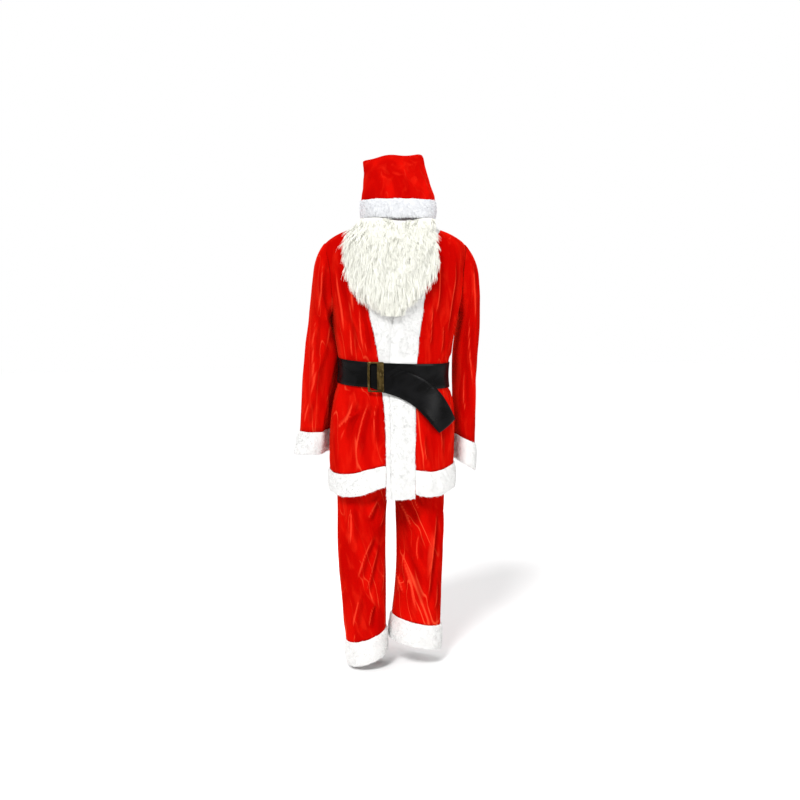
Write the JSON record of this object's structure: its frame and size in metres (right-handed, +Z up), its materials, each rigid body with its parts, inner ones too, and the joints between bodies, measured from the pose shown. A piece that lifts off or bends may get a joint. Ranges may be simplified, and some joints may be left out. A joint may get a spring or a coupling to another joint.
{
  "type": "santa suit",
  "caption": "Red velvet suit with white plush trims: belted jacket, trousers, folded-over hat and beard, in its worn, hollow form",
  "frame": {"origin": "base of the neck, between the shoulder seams, where the wearer's shoulders carry the suit", "axes": "+Z up, the front faces -Y, +X is the wearer's left"},
  "size_m": [0.5948, 0.323, 1.6453],
  "materials": {
    "red_velvet": "crushed velvet",
    "white_plush": "short plush",
    "cream_plush": "long-pile plush",
    "black_vinyl": "semi-gloss",
    "bronze_metal": "aged bronze"
  },
  "bodies": {
    "root": {"jacket_back": "red_velvet", "jacket_front_left": "red_velvet", "jacket_front_right": "red_velvet", "sleeve_left": "red_velvet", "sleeve_right": "red_velvet", "trouser_leg_left": "red_velvet", "trouser_leg_right": "red_velvet", "waistband": "red_velvet", "hat_crown": "red_velvet", "cuff_left": "white_plush", "cuff_right": "white_plush", "front_trim_left": "white_plush", "front_trim_right": "white_plush", "hem_band": "white_plush", "trouser_cuff_left": "white_plush", "trouser_cuff_right": "white_plush", "hat_band": "white_plush", "beard": "cream_plush", "belt_strap": "black_vinyl", "belt_buckle": "bronze_metal"}
  },
  "joints": []
}
